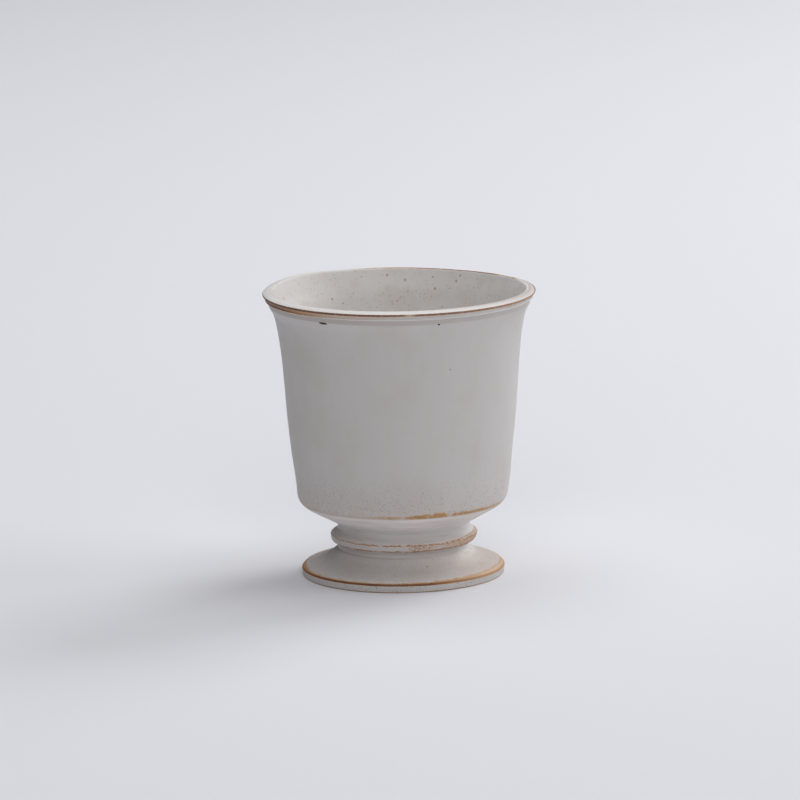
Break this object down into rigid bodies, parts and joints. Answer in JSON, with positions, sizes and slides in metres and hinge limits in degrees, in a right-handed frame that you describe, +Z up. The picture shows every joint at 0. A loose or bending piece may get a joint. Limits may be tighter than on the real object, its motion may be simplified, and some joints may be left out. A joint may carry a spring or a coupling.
{
  "type": "goblet",
  "caption": "Turned stoneware goblet: an upright bowl with a flared lip on a waisted stem with a banded collar and a spreading, hollowed foot.",
  "frame": {"origin": "centre of the foot's resting ring, on the surface that the goblet stands on", "axes": "+Z up along the axis of the bowl, towards the lip; +Y away from the side that the picture shows"},
  "size_m": [0.08, 0.08, 0.0847],
  "materials": {
    "glaze": "satin off-white glaze over brown stoneware, broken brown along the edges and finely speckled"
  },
  "bodies": {
    "root": {"goblet": "glaze"}
  },
  "joints": []
}
